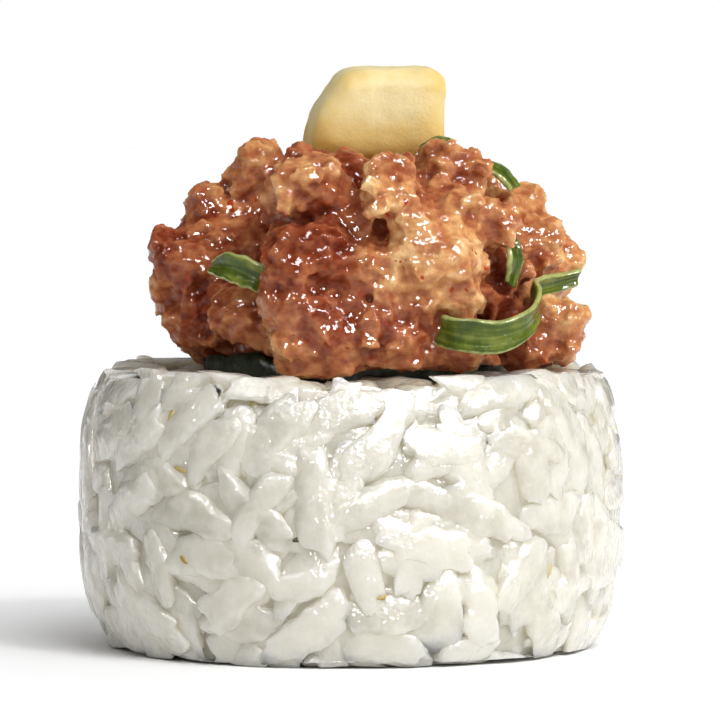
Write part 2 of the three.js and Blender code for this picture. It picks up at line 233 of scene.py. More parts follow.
# %% Helpers for materials
class Finish:
    """A material under construction, around one Principled shader."""

    def __init__(self, name, **values):
        self.material = bpy.data.materials.new(name)
        self.material.use_nodes = True
        self.tree = self.material.node_tree
        self.shader = self.tree.nodes["Principled BSDF"]
        self.place = self.add("ShaderNodeTexCoord").outputs["Object"]
        for socket, value in values.items():
            self.shader.inputs[socket.replace("_", " ")].default_value = value

    def add(self, kind, **values):
        """Add a node. Values go to its settings and sockets, by name."""
        node = self.tree.nodes.new(kind)
        for name, value in values.items():
            if hasattr(node, name):
                setattr(node, name, value)
            else:
                self.join(value, node.inputs[name.replace("_", " ")])
        return node

    def join(self, value, socket):
        """Link another node's socket to a socket, or set a plain value on it."""
        if isinstance(value, bpy.types.NodeSocket):
            self.tree.links.new(value, socket)
        else:
            socket.default_value = value

    def noise(self, size, detail=2.0, stretch=(1, 1, 1)):
        """Soft noise with features of a given size in millimetres, which can be stretched along an axis."""
        stretched = self.add("ShaderNodeMapping", Vector=self.place, Scale=stretch)
        pattern = self.add(
            "ShaderNodeTexNoise", Vector=stretched.outputs[0], Scale=1 / (size * MM), Detail=detail)
        return pattern.outputs["Fac"]

    def painted(self, name):
        """A number that was stored on the mesh's points."""
        return self.add("ShaderNodeAttribute", attribute_name=name).outputs["Fac"]

    def math(self, operation, first, second):
        node = self.add("ShaderNodeMath", operation=operation)
        self.join(first, node.inputs[0])
        self.join(second, node.inputs[1])
        return node.outputs[0]

    def between(self, value, low, high, to_low=0.0, to_high=1.0):
        """Map a value from one range to another, without leaving it."""
        node = self.add("ShaderNodeMapRange", interpolation_type="SMOOTHSTEP", Value=value)
        node.inputs["From Min"].default_value = low
        node.inputs["From Max"].default_value = high
        node.inputs["To Min"].default_value = to_low
        node.inputs["To Max"].default_value = to_high
        return node.outputs["Result"]

    def ramp(self, value, *stops):
        """Colours along a value: each stop is a place from 0 to 1 and a colour."""
        node = self.add("ShaderNodeValToRGB", Fac=value)
        while len(node.color_ramp.elements) < len(stops):
            node.color_ramp.elements.new(0.5)
        for element, (place, colour) in zip(node.color_ramp.elements, stops):
            element.position = place
            element.color = (*colour, 1)
        return node.outputs["Color"]

    def mix(self, amount, first, second):
        """From one colour to another, by an amount from 0 to 1."""
        node = self.add("ShaderNodeMix", data_type="RGBA")
        self.join(amount, node.inputs["Factor"])
        for colour, socket in ((first, "A"), (second, "B")):
            is_linked = isinstance(colour, bpy.types.NodeSocket)
            self.join(colour if is_linked else (*colour, 1), node.inputs[socket])
        return node.outputs["Result"]

    def bumps(self, *layers, onto="Normal"):
        """Relief too fine to model: each layer is a height pattern and its depth in millimetres."""
        normal = None
        for height, depth in layers:
            node = self.add("ShaderNodeBump", Height=height, Distance=depth * MM)
            if normal is not None:
                self.join(normal, node.inputs["Normal"])
            normal = node.outputs["Normal"]
        self.join(normal, self.shader.inputs[onto])

    def colour(self, value):
        self.join(value, self.shader.inputs["Base Color"])


def dress(piece, finish, slot, *solids, crease=None):
    """Finish a piece: smooth shading, sharp at creases of so many degrees, its material, and its solids."""
    only(piece)
    if crease:
        bpy.ops.object.shade_smooth_by_angle(angle=math.radians(crease))
    else:
        bpy.ops.object.shade_smooth()
    piece.data.materials.clear()
    piece.data.materials.append(finish.material)
    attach(piece, "root")
    if solids:
        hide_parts(*solids)
    print(count_of(piece))


# %% [markdown]
# ## Rice: one grain
# The rice is pressed: its grains lie flat against the outline and lap over each other like shingles, with
# thin grey gaps. We model one cooked grain as by hand, from a ball that is stretched and blunted, and
# copy it. Instances would be lighter, but copies can be bent, dented and pressed, each in its own way.
#
# A new ball's points don't come in the same order on every run. The random wrinkles below go by that
# order, so it is sorted first, and the rice comes out the same each time.


# %% Put points and faces in a fixed order
DECIMALS = 4


def fix_order(piece):
    """Sort a mesh's points by place, and its faces by their points."""
    points = np.round(points_of(piece), DECIMALS) + 0.0
    order = np.lexsort(points.T)
    new_number = np.argsort(order)
    faces = []
    for face in piece.data.polygons:
        corners = new_number[list(face.vertices)]
        faces.append(np.roll(corners, -corners.argmin()).tolist())
    piece.data.clear_geometry()
    piece.data.from_pydata((points[order] * MM).tolist(), [], sorted(faces))


# %% Model a grain of rice
GRAIN_LENGTH = 7.8
GRAIN_WIDTH = 3.2
GRAIN_THICKNESS = 2.5
BLUNT_TIPS = 0.25

nothing_selected()
bpy.ops.mesh.primitive_uv_sphere_add(segments=10, ring_count=8, radius=0.5 * MM)
grain = bpy.context.object
bpy.ops.object.mode_set(mode="EDIT")
bpy.ops.mesh.select_all(action="SELECT")
bpy.ops.transform.resize(value=(GRAIN_WIDTH, GRAIN_THICKNESS, GRAIN_LENGTH))
bpy.ops.object.mode_set(mode="OBJECT")
fix_order(grain)
shape = points_of(grain)
along = shape[:, 2] / (GRAIN_LENGTH / 2)
shape[:, :2] *= (1 + BLUNT_TIPS * along**2)[:, None]
move_points(grain, shape)
apply(grain, "SUBSURF", levels=1, render_levels=1)
grain_shape = points_of(grain)
print(count_of(grain))

# %% [markdown]
# ## Rice: laying the grains
# Grains that are thrown down at random overlap in some places and leave holes in others. So we lay them
# on the roll's unrolled side and let them push each other apart, as rolling in a mat does. Each grain
# counts as three discs in a row: overlapping discs push, and a push off the middle turns the grain. The
# room that a disc claims may be less than a grain's width, and then the grains overlap and hide the core
# behind them.

# %% Let flat grains push each other apart on a strip
LENGTH_RANGE = (0.8, 1.15)
SHARE_MOVED = 0.16
SHARE_TURNED = 0.1
TINY = 1e-6


def lay_grains(count, span, low, high, room, seed, steps=160):
    """Places, turns and lengths of grains on a strip that closes on itself after a span."""
    draws = np.random.default_rng(seed)
    middle = np.column_stack([draws.uniform(0, span, count), draws.uniform(low, high, count)])
    turn = draws.uniform(0, math.pi, count)
    length = GRAIN_LENGTH * draws.uniform(*LENGTH_RANGE, count)
    half = (length - GRAIN_WIDTH) / 2
    owner = np.repeat(np.arange(count), 3)
    stranger = owner[:, None] != owner[None, :]
    for _ in range(steps):
        direction = np.column_stack([np.cos(turn), np.sin(turn)])
        arms = (np.array([-1, 0, 1])[None, :, None] * half[:, None, None]) * direction[:, None, :]
        discs = (middle[:, None, :] + arms).reshape(-1, 2)
        away = discs[:, None, :] - discs[None, :, :]
        away[..., 0] -= span * np.round(away[..., 0] / span)
        distance = np.linalg.norm(away, axis=2) + TINY
        push = np.clip(room * GRAIN_WIDTH - distance, 0, None) * stranger / distance
        force = (away * push[..., None]).sum(axis=1).reshape(count, 3, 2)
        twist = (arms[..., 0] * force[..., 1] - arms[..., 1] * force[..., 0]).sum(axis=1)
        middle += SHARE_MOVED * force.sum(axis=1)
        turn += SHARE_TURNED * twist / (half**2 + 1)
        middle[:, 1] = np.clip(middle[:, 1], low, high)
    middle[:, 0] %= span
    return middle, turn, length


# %% [markdown]
# ## Rice: pressing the grains
# Every grain is broken off at its ends, bent, tapered and dented by its own random amounts. It is laid at
# its place and then pressed: points that would stick out beyond a limit flatten against it. The limit is
# the roll's outline, at a level of its own for each grain and slightly sloped, so that neighbours meet in
# small steps instead of merging into one smooth wall.

# %% The roll's outline, and what presses a grain against it
ROLL_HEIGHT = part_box("rice")[1].z / MM
ROLL_RADIUS = 21.3
SHOULDER_DROP = 2.2
SHOULDER_POWER = 3.2
EDGE_SOFTNESS = 0.2
CUT_SOFTNESS = 0.4
FOOT_FLATTER = 3
print(f"roll {2 * ROLL_RADIUS:.1f} mm across and {ROLL_HEIGHT:.1f} mm high")


def roll_radius(z):
    """The roll's radius at a height: it bulges, and draws in at both shoulders."""
    from_middle = np.clip(np.abs(2 * z / ROLL_HEIGHT - 1), 0, 1)
    return ROLL_RADIUS - SHOULDER_DROP * from_middle**SHOULDER_POWER


def soft_limit(values, limit, softness):
    """Values stay as they are well below a limit, and flatten out against it."""
    return limit - softness * np.logaddexp(0, (limit - values) / softness)


def press(points, level, end_level):
    """Squeeze points against the outline and the two cuts, each grain at its own levels below them."""
    z = soft_limit(points[..., 2], ROLL_HEIGHT - end_level, CUT_SOFTNESS)
    z = -soft_limit(-z, -end_level / FOOT_FLATTER, EDGE_SOFTNESS)
    radius = np.hypot(points[..., 0], points[..., 1])
    squeeze = soft_limit(radius, roll_radius(z) - level, EDGE_SOFTNESS) / radius
    return np.stack([points[..., 0] * squeeze, points[..., 1] * squeeze, z], axis=-1)


# %% Shape, place and press grains
SLIMMEST = (0.85, 0.9, 1)
STOUTEST = (1.15, 1.1, 1)
BROKEN_OFF_AT = (0.75, 1.2)
BREAK_SLANT = 0.35
TAPER = 0.16
BEND = 0.45
BEND_MIDDLE = 0.4
DENTS = 0.12
DENT_PACES = (1.5, 1.5, 1.5, 3.5, 3.5)
DENT_SHIFT = 6
WRINKLES = 0.008
SLOPE_ACROSS = 0.11
SLOPE_ALONG = 0.05
END_LEVELS = 1.0


def placed_grains(at, outward, around, turn, length, levels, seed):
    """Every grain's points: shaped in its own way, lying flat on a surface, and pressed to its level."""
    draws = np.random.default_rng(seed)
    count = len(at)

    def each(amount):
        """A random number for every grain, around zero."""
        return draws.normal(0, amount, (count, 1))

    size = draws.uniform(SLIMMEST, STOUTEST, (count, 3))
    size[:, 2] *= length / GRAIN_LENGTH
    local = grain_shape[None] * size[:, None]
    half = length[:, None] / 2
    for end in (-1, 1):
        broken_off = half * draws.uniform(*BROKEN_OFF_AT, (count, 1)) + each(BREAK_SLANT) * local[..., 0]
        local[..., 2] = end * np.minimum(end * local[..., 2], broken_off)
    along = local[..., 2] / half
    local[..., 0] *= 1 + each(TAPER) * along
    local[..., 0] += each(BEND) * (along**2 - BEND_MIDDLE)
    for pace in DENT_PACES:
        wave = np.einsum("gpi,gi->gp", local, draws.normal(0, pace, (count, 3)))
        local *= 1 + DENTS / pace * np.sin(wave + draws.uniform(0, DENT_SHIFT, (count, 1)))[..., None]
    local *= 1 + draws.normal(0, WRINKLES, local.shape[:2])[..., None]
    up = np.cross(outward, around)
    lengthwise = around * np.cos(turn)[:, None] + up * np.sin(turn)[:, None]
    widthwise = np.cross(outward, lengthwise)
    basis = np.stack([widthwise, outward, lengthwise], axis=1)
    points = np.einsum("gpi,gij->gpj", local, basis) + at[:, None]
    slope = each(SLOPE_ACROSS) * local[..., 0] + each(SLOPE_ALONG) * local[..., 2]
    on_the_side = outward[0][2] == 0
    end_levels = np.abs(each(END_LEVELS)) if on_the_side else levels[:, None]
    return press(points, np.maximum(levels[:, None] + slope, 0), np.maximum(end_levels + slope, 0))


# %% Grains round the side, in three layers, and on both cut ends
NORI_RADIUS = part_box("nori")[1].x / MM
PRESSED = 0.55
PRESSED_ON_CUTS = 0.15
LOWEST_GRAIN = -0.4
HIGHEST_GRAIN = ROLL_HEIGHT + 0.2
INNERMOST_GRAIN = NORI_RADIUS + 1.7
OUTERMOST_GRAIN = ROLL_RADIUS - 3
DEEPEST_ON_CUTS = 0.9
# Levels and shapes are drawn from seeds of their own, this far from the seed for the places.
LEVEL_SEEDS = 50
SHAPE_SEEDS = 100


def side_grains(count, room, shallowest, deepest, seed):
    """Grains round the side, at levels between two depths under the outline."""
    middle, turn, length = lay_grains(
        count, 2 * math.pi * ROLL_RADIUS, LOWEST_GRAIN, HIGHEST_GRAIN, room, seed)
    angle = middle[:, 0] / ROLL_RADIUS
    outward = np.column_stack([np.cos(angle), np.sin(angle), np.zeros(count)])
    around = np.column_stack([-np.sin(angle), np.cos(angle), np.zeros(count)])
    levels = np.random.default_rng(seed + LEVEL_SEEDS).uniform(shallowest, deepest, count)
    at = outward * (roll_radius(middle[:, 1]) - levels - GRAIN_THICKNESS / 2 + PRESSED)[:, None]
    at[:, 2] = middle[:, 1]
    return placed_grains(at, outward, around, turn, length, levels, seed + SHAPE_SEEDS)


def end_grains(count, room, z, facing, seed):
    """Grains on a cut end, between the seaweed and the rim."""
    ring = (NORI_RADIUS + ROLL_RADIUS) / 2
    middle, turn, length = lay_grains(
        count, 2 * math.pi * ring, INNERMOST_GRAIN, OUTERMOST_GRAIN, room, seed)
    angle = middle[:, 0] / ring
    outward = np.tile([0.0, 0.0, facing], (count, 1))
    around = np.column_stack([-np.sin(angle), np.cos(angle), np.zeros(count)])
    levels = np.random.default_rng(seed + LEVEL_SEEDS).uniform(0, DEEPEST_ON_CUTS, count)
    depth = levels + GRAIN_THICKNESS / 2 - PRESSED_ON_CUTS
    from_axis = middle[:, 1]
    at = np.column_stack([from_axis * np.cos(angle), from_axis * np.sin(angle), z - facing * depth])
    return placed_grains(at, outward, around, turn, length, levels, seed + SHAPE_SEEDS)


grains = np.concatenate([
    side_grains(count=100, room=0.95, shallowest=0, deepest=0.2, seed=3),
    side_grains(count=150, room=0.75, shallowest=0.2, deepest=0.5, seed=4),
    side_grains(count=120, room=0.85, shallowest=0.45, deepest=0.8, seed=8),
    end_grains(count=46, room=0.9, z=ROLL_HEIGHT, facing=1, seed=5),
    end_grains(count=44, room=0.9, z=0, facing=-1, seed=6),
])
print(len(grains), "grains of rice")

# %% [markdown]
# ## Rice: one moist mass
# A ring of packed rice backs the grains, so that no gap shows through. We model it from a cylinder: both
# caps are inset, and the two inner faces are bridged into a bore. Then one Boolean joins all the grains
# to it. A remesh would join them too, but it rounds off the thin steps and creases that tell one grain
# from the next.

# %% Model the core
CORE_DEPTH = 0.95
CORE_TOP = ROLL_HEIGHT - 1.3
CORE_FOOT = 0.35
BORE_CLEARANCE = 0.3
FACES_UP = 0.9

nothing_selected()
bpy.ops.mesh.primitive_cylinder_add(
    vertices=96, radius=ROLL_RADIUS * MM, depth=(CORE_TOP - CORE_FOOT) * MM,
    location=(0, 0, (CORE_TOP + CORE_FOOT) / 2 * MM))
rice = bpy.context.object
rice.name = "pressed_rice"
bpy.ops.object.transform_apply(location=True)
bpy.ops.object.mode_set(mode="EDIT")
bpy.ops.mesh.select_mode(type="FACE")
bpy.ops.mesh.select_all(action="DESELECT")
bpy.ops.object.mode_set(mode="OBJECT")
for face in rice.data.polygons:
    face.select = abs(face.normal.z) > FACES_UP
bpy.ops.object.mode_set(mode="EDIT")
bpy.ops.mesh.inset(thickness=(ROLL_RADIUS - NORI_RADIUS - BORE_CLEARANCE) * MM)
bpy.ops.mesh.bridge_edge_loops()
bpy.ops.mesh.select_all(action="SELECT")
bpy.ops.mesh.subdivide(number_cuts=5)
bpy.ops.object.mode_set(mode="OBJECT")
shape = points_of(rice)
radius = np.hypot(shape[:, 0], shape[:, 1])
shape[:, :2] *= np.minimum(1, (roll_radius(shape[:, 2]) - CORE_DEPTH) / radius)[:, None]
move_points(rice, shape)
print(count_of(rice))


# %% Roughen a surface
def clouds(name, size, depth=2):
    """A soft noise texture for the Displace modifier, with features of a given size in millimetres."""
    texture = bpy.data.textures.new(name, "CLOUDS")
    texture.noise_scale = size * MM
    texture.noise_depth = depth
    return texture


def displace(piece, texture, height):
    """Push a surface in and out by a texture, by up to half a height in millimetres."""
    apply(piece, "DISPLACE", texture=texture, texture_coords="LOCAL", mid_level=0.5, strength=height * MM)


# %% Join the grains to it
MOST_TRIANGLES = 190000

pile = bpy.data.collections.new("grains")
bpy.context.scene.collection.children.link(pile)
for points in grains:
    copy = grain.copy()
    copy.data = grain.data.copy()
    move_points(copy, points)
    pile.objects.link(copy)
apply(rice, "BOOLEAN", operation="UNION", operand_type="COLLECTION", collection=pile, solver="MANIFOLD")
for piece in [*pile.objects, grain]:
    bpy.data.objects.remove(piece)
bpy.data.collections.remove(pile)
print(count_of(rice))
apply(rice, "DECIMATE", ratio=min(1, MOST_TRIANGLES / triangles_of(rice)))
displace(rice, clouds("starch", 0.8), 0.07)
print(count_of(rice))


# %% Find the nearest of many points, and paint points
def tree_of(points):
    """A tree that finds the nearest of many points."""
    tree = KDTree(len(points))
    for number, point in enumerate(points):
        tree.insert(point, number)
    tree.balance()
    return tree


def nearest_numbers(tree, points):
    """For each point, the number of the tree's point that is nearest to it."""
    return np.array([tree.find(point)[1] for point in points])


def paint(piece, name, values):
    """Store a number on every point, for the material to read."""
    attribute = piece.data.attributes.new(name, "FLOAT", "POINT")
    attribute.data.foreach_set("value", np.asarray(values, np.float32))


# %% Give every grain its own tone, and mark how deep each point lies
# Each grain has five marks along it, and a point of the rice belongs to the grain of the nearest mark.
MARKS_TOWARDS_TIPS = (0.4, 0.75)
TONE_SEED = 7

middles = grains.mean(axis=1)
tips = [grains[:, grain_shape[:, 2].argmax()], grains[:, grain_shape[:, 2].argmin()]]
marks = [middles] + [middles + share * (tip - middles) for tip in tips for share in MARKS_TOWARDS_TIPS]
surface = points_of(rice)
nearest = nearest_numbers(tree_of(np.vstack(marks)), surface) % len(grains)
grain_tone = np.random.default_rng(TONE_SEED).uniform(0, 1, len(grains))
paint(rice, "tone", grain_tone[nearest])
below_side = roll_radius(surface[:, 2]) - np.hypot(surface[:, 0], surface[:, 1])
below_cut = np.minimum(surface[:, 2], ROLL_HEIGHT - surface[:, 2])
depth = np.minimum(below_side, 2 * below_cut)
paint(rice, "depth", depth)
print(f"rice surface up to {depth.max():.1f} mm deep")

# %% [markdown]
# ## Rice: its finish
# Cooked rice is white, moist and a little see-through. Light that enters one grain comes out of the next,
# so the shader scatters light under the surface. The gaps between grains are painted grey as shade, each
# grain differs slightly, and a fine relief breaks the shine into small glints.

# %% Rice material
DULL_GRAIN = (0.55, 0.525, 0.44)
BRIGHT_GRAIN = (0.735, 0.71, 0.62)
STARCH_WHITE = (0.8, 0.775, 0.695)
GAP_SHADE_GREY = (0.53, 0.51, 0.4)

moist_rice = Finish(
    "moist_rice", Roughness=0.35, Subsurface_Weight=1.0, Subsurface_Scale=0.004, IOR=1.36, Coat_Weight=1.0,
    Coat_Roughness=0.08, Coat_IOR=1.4)
moist_rice.shader.inputs["Subsurface Radius"].default_value = (1.0, 0.96, 0.85)
grain_colour = moist_rice.ramp(moist_rice.painted("tone"), (0, DULL_GRAIN), (1, BRIGHT_GRAIN))
starch = moist_rice.between(moist_rice.noise(1.6, 3), 0.35, 0.7)
grain_colour = moist_rice.mix(moist_rice.math("MULTIPLY", starch, 0.5), grain_colour, STARCH_WHITE)
# Points deep below the outline are painted grey: painted shade in the gaps between grains.
gap = moist_rice.between(moist_rice.painted("depth"), 0.6, 1.6)
moist_rice.colour(moist_rice.mix(gap, grain_colour, GAP_SHADE_GREY))
moist_rice.bumps((moist_rice.noise(1.7, 2), 0.2), (moist_rice.noise(0.45, 2), 0.06))
moist_rice.bumps((moist_rice.noise(1.3, 1), 0.4), (moist_rice.noise(0.35, 1), 0.11), onto="Coat Normal")
dress(rice, moist_rice, "rice", "rice", crease=38)

# %% [markdown]
# ## Flecks of bran
# A few slivers of golden bran and two dark specks cling to the rice. One sliver is modelled from a small
# grid, pointed at both ends and slightly hollow, and each copy is laid on the rice where a ray from
# outside meets it.


# %% Join copies into one mesh
def joined_copies(name, model, places):
    """One mesh of many copies of a modelled piece. Places holds each copy's own points, in millimetres."""
    faces = [tuple(face.vertices) for face in model.data.polygons]
    count = places.shape[1]
    all_faces = [
        tuple(corner + copy * count for corner in face) for copy in range(len(places)) for face in faces]
    mesh = bpy.data.meshes.new(name)
    mesh.from_pydata((places.reshape(-1, 3) * MM).tolist(), [], all_faces)
    piece = bpy.data.objects.new(name, mesh)
    bpy.context.collection.objects.link(piece)
    return piece


# %% Lay flecks on the rice
# Each has its angle round the roll from the front, its height, its turn, its length, and its tone.
FLECKS = [
    (7, 5.5, 8, 1.5, 0.3), (-11, 9.8, 20, 0.8, 1.0), (-38, 14.7, -15, 1.3, 0.2), (-42, 18.8, 70, 1.2, 0.1),
    (-36, 8, -40, 0.9, 0.4), (-22, 19.8, 35, 1.1, 0.0), (46, 6.9, 80, 1.3, 0.0), (85, 13, 25, 1.2, 0.3),
    (128, 7, -60, 1.4, 0.2), (165, 16, 10, 1.0, 0.9), (205, 10, 50, 1.3, 0.1), (262, 15, -20, 1.2, 0.3),
]
FLECK_WIDTH = 0.4
FLECK_THICKNESS = 0.12
FLECK_POINTED = 1.8
FLECK_HOLLOW = 0.3

nothing_selected()
bpy.ops.mesh.primitive_grid_add(x_subdivisions=6, y_subdivisions=2, size=1 * MM)
sliver = bpy.context.object
shape = points_of(sliver)
shape[:, 1] *= FLECK_WIDTH * (1 - (FLECK_POINTED * shape[:, 0])**2)
shape[:, 2] = -FLECK_HOLLOW * shape[:, 0]**2
move_points(sliver, shape)
apply(sliver, "SOLIDIFY", thickness=FLECK_THICKNESS * MM, offset=0)
shape = points_of(sliver)

slivers = []
for degrees, z, turn, length, _ in FLECKS:
    outward = Vector((math.sin(math.radians(degrees)), -math.cos(math.radians(degrees)), 0))
    start = outward * 2 * ROLL_RADIUS * MM + Vector((0, 0, z * MM))
    _, place, facing, _ = rice.ray_cast(start, -outward)
    sideways = Vector((0, 0, 1)).cross(facing).normalized()
    upward = facing.cross(sideways)
    c, s = math.cos(math.radians(turn)), math.sin(math.radians(turn))
    basis = np.array([c * sideways + s * upward, c * upward - s * sideways, facing])
    slivers.append(shape * (length, 1, 1) @ basis + np.array(place) / MM)
flecks = joined_copies("bran_flecks", sliver, np.array(slivers))
paint(flecks, "tone", np.repeat([tone for *_, tone in FLECKS], len(shape)))
bpy.data.objects.remove(sliver)
print(len(slivers), "flecks of bran")

# %% Bran material
bran = Finish("bran", Roughness=0.5, Subsurface_Weight=0.2, Subsurface_Scale=0.0003)
streaks = bran.math("ADD", bran.painted("tone"), bran.between(bran.noise(0.3, 2), 0.3, 0.7, -0.1, 0.1))
bran.colour(bran.ramp(
    streaks, (0, (0.62, 0.5, 0.2)), (0.4, (0.42, 0.27, 0.05)), (0.9, (0.06, 0.055, 0.01))))
bran.bumps((bran.noise(0.25, 2), 0.03))
dress(flecks, bran, "rice")

# %% [markdown]
# ## Seaweed
# Between the rice and the tuna runs one sheet of seaweed, of which only the dark upper edge shows. A
# cylinder with no ends is cut into rows, waved by noise, and given its thickness last, so that both faces
# wave alike.

# %% Model the seaweed
NORI_LOW = 0.4
NORI_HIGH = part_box("nori")[1].z / MM
NORI_THICKNESS = 0.35
NORI_SLACK = 0.1
UPRIGHT_EDGE = 1
RAGGED_DEPTH = 3
# The ragged edge adds up waves: each has its height, its number round the roll, and its shift.
RAGGED_WAVES = [(0.35, 5, 1), (0.2, 13, 0), (0.12, 31, 2)]

nothing_selected()
bpy.ops.mesh.primitive_cylinder_add(
    vertices=128, radius=(NORI_RADIUS - NORI_SLACK) * MM, depth=(NORI_HIGH - NORI_LOW) * MM,
    location=(0, 0, (NORI_HIGH + NORI_LOW) / 2 * MM), end_fill_type="NOTHING")
nori = bpy.context.object
nori.name = "seaweed_sheet"
bpy.ops.object.transform_apply(location=True)
bpy.ops.object.mode_set(mode="EDIT")
bpy.ops.mesh.select_all(action="DESELECT")
bpy.ops.object.mode_set(mode="OBJECT")
shape = points_of(nori)
for edge in nori.data.edges:
    edge.select = bool(abs(shape[edge.vertices[0]][2] - shape[edge.vertices[1]][2]) > UPRIGHT_EDGE)
bpy.ops.object.mode_set(mode="EDIT")
bpy.ops.mesh.subdivide(number_cuts=24)
bpy.ops.object.mode_set(mode="OBJECT")
shape = points_of(nori)
angle = np.arctan2(shape[:, 1], shape[:, 0])
ragged = sum(height * np.sin(waves * angle + shift) for height, waves, shift in RAGGED_WAVES)
shape[:, 2] += ragged * np.clip((shape[:, 2] - ROLL_HEIGHT + RAGGED_DEPTH) / RAGGED_DEPTH, 0, 1)
move_points(nori, shape)
displace(nori, clouds("seaweed_waves", 2.2), 0.5)
apply(nori, "SOLIDIFY", thickness=NORI_THICKNESS * MM, offset=-1)
print(count_of(nori))

# %% Seaweed material
damp_nori = Finish("damp_nori", Roughness=0.42, IOR=1.4)
damp_nori.colour(damp_nori.ramp(
    damp_nori.noise(0.8, 4),
    (0.3, (0.006, 0.010, 0.004)),
    (0.55, (0.022, 0.034, 0.012)),
    (0.75, (0.06, 0.075, 0.025))))
damp_nori.bumps((damp_nori.noise(0.5, 4), 0.12))
dress(nori, damp_nori, "nori", "nori")

# %% [markdown]
# ## Spring onion: where the shreds lie
# The shreds lie in the heap, and the chopping must leave them in view, so their paths are set before the
# heap is made. The paths follow those of the solids, and the shreds at the back repeat those in front,
# turned about the axis.

# %% Paths of the shreds
SHREDS = {
    "curl": dict(path=[(6.7, -13.3, 25.1), (8.3, -14.7, 24.7), (10.9, -14.9, 24.6), (13.1, -13.6, 25.4),
                       (14, -11, 26.8), (13.9, -8, 27.8), (15.6, -5.6, 28.2), (17.5, -4.6, 28.7)],
                 across=(0.05, -0.15, 1), widths=(2.4, 2.7, 2.3, 2.1, 1.9, 1.6, 1.2)),
    "fold": dict(path=[(-10.5, -9.2, 29.6), (-9.2, -11, 29.7), (-7.6, -12, 29.2), (-6.3, -11.8, 28.5)],
                 across=(0.35, -0.25, 0.9), widths=(0.9, 2.1, 2.4, 2.0)),
    "upright": dict(path=[(11.9, -9.8, 32), (12.3, -10.4, 30.3), (11.9, -10.2, 28.3)],
                    across=(0.6, 0.8, 0), widths=(1.2, 1.8, 1.3)),
    "brow": dict(path=[(9.9, -5.6, 37.2), (11.4, -5.9, 36.6), (12.4, -5.5, 35.4)],
                 across=(0.3, 0.9, 0.4), widths=(1.2, 1.8, 1.6)),
    "crown": dict(path=[(5.2, -4.9, 38.1), (6.5, -5.1, 38.8), (7.9, -4.7, 38.6)],
                  across=(0, 0.9, 0.5), widths=(1.2, 1.7, 1.4)),
}
# Each of these repeats another one, turned by so many degrees and moved inward by so many millimetres.
TURNED_SHREDS = {
    "back_curl": ("curl", 150, 0.7),
    "back_fold": ("fold", 185, -0.6),
    "left_upright": ("upright", 195, 0.3),
    "back_brow": ("brow", 120, 1.8),
}
POINTS_PER_PART = 20
MARKS_PER_SHRED = 30


def turned_shred(like, degrees, inward):
    """A shred like another, moved inward and turned about the roll's axis."""
    model = SHREDS[like]
    path = np.array(model["path"])
    outward = path[len(path) // 2] * (1, 1, 0)
    path = path - inward * outward / np.linalg.norm(outward)
    c, s = math.cos(math.radians(degrees)), math.sin(math.radians(degrees))
    turning = np.array([(c, -s, 0), (s, c, 0), (0, 0, 1)])
    return dict(path=path @ turning.T, across=turning @ model["across"], widths=model["widths"])


def smooth_path(path, steps):
    """Points along a smooth line through the given ones, evenly spaced."""
    path = np.array(path, float)
    ends = np.vstack([2 * path[0] - path[1], path, 2 * path[-1] - path[-2]])
    line = []
    for before, start, end, after in zip(ends, ends[1:], ends[2:], ends[3:]):
        t = np.linspace(0, 1, POINTS_PER_PART, endpoint=False)[:, None]
        line.append(0.5 * (
            2 * start + (end - before) * t + (2 * before - 5 * start + 4 * end - after) * t**2
            + (3 * start - before - 3 * end + after) * t**3))
    line = np.vstack([*line, path[-1:]])
    travelled = np.concatenate([[0], np.cumsum(np.linalg.norm(np.diff(line, axis=0), axis=1))])
    even = np.linspace(0, travelled[-1], steps)
    return np.column_stack([np.interp(even, travelled, line[:, axis]) for axis in range(3)])


all_shreds = SHREDS | {name: turned_shred(*how) for name, how in TURNED_SHREDS.items()}
shred_lines = np.vstack([smooth_path(shred["path"], MARKS_PER_SHRED) for shred in all_shreds.values()])
print(len(all_shreds), "shreds")

# %% [markdown]
# ## Tuna: heaping the forms
# The heap's rough form is already in its solid, so we start from a copy of that, cut off inside the
# seaweed and drawn in to make room. Its left foot is lifted, where the seaweed shows under it. The forms
# that stand out, such as the brow, the crumb on the crown and the horn on the right, are added as rounded
# blocks. A remesh melts them into one mass, much as wet flesh clings together.


# %% Read which way points face
def normals_of(piece):
    """The direction in which each point's surface faces, as rows of x, y, z."""
    flat = np.empty(3 * len(piece.data.vertices))
    piece.data.vertices.foreach_get("normal", flat)
    return flat.reshape(-1, 3)


# %% Copy the heap, merge it, and cut off the part inside the seaweed
ROOM_FOR_FORMS = 1.3
LESS_ROOM_UNDERNEATH = 0.6
LEFT_LIFT = 2.2
LIFTED_X, LIFTED_Y = -10, -9
LIFTED_REACH = 5.5
LIFTED_BELOW = 28
LIFT_FADES_OVER = 4
CUT_BELOW_TOP = 1

only(frame["nodes"]["tuna"])
bpy.ops.object.duplicate()
tuna = bpy.context.object
tuna.name = "chopped_tuna"
tuna.data = tuna.data.copy()
tuna.parent = None
for mark in list(tuna.keys()):
    del tuna[mark]
only(tuna)
bpy.ops.object.mode_set(mode="EDIT")
bpy.ops.mesh.select_all(action="SELECT")
bpy.ops.mesh.remove_doubles(threshold=0.005 * MM)
bpy.ops.mesh.bisect(
    plane_co=(0, 0, (ROLL_HEIGHT - CUT_BELOW_TOP) * MM), plane_no=(0, 0, 1),
    use_fill=True, clear_inner=True)
bpy.ops.object.mode_set(mode="OBJECT")
apply(tuna, "REMESH", mode="VOXEL", voxel_size=0.5 * MM)
apply(tuna, "SMOOTH", factor=0.5, iterations=3)
heap, outward = points_of(tuna), normals_of(tuna)
heap -= ROOM_FOR_FORMS * np.clip(1 + outward[:, 2:] / LESS_ROOM_UNDERNEATH, 0, 1) * outward
lifted = np.exp(-((heap[:, 0] - LIFTED_X)**2 + (heap[:, 1] - LIFTED_Y)**2) / LIFTED_REACH**2)
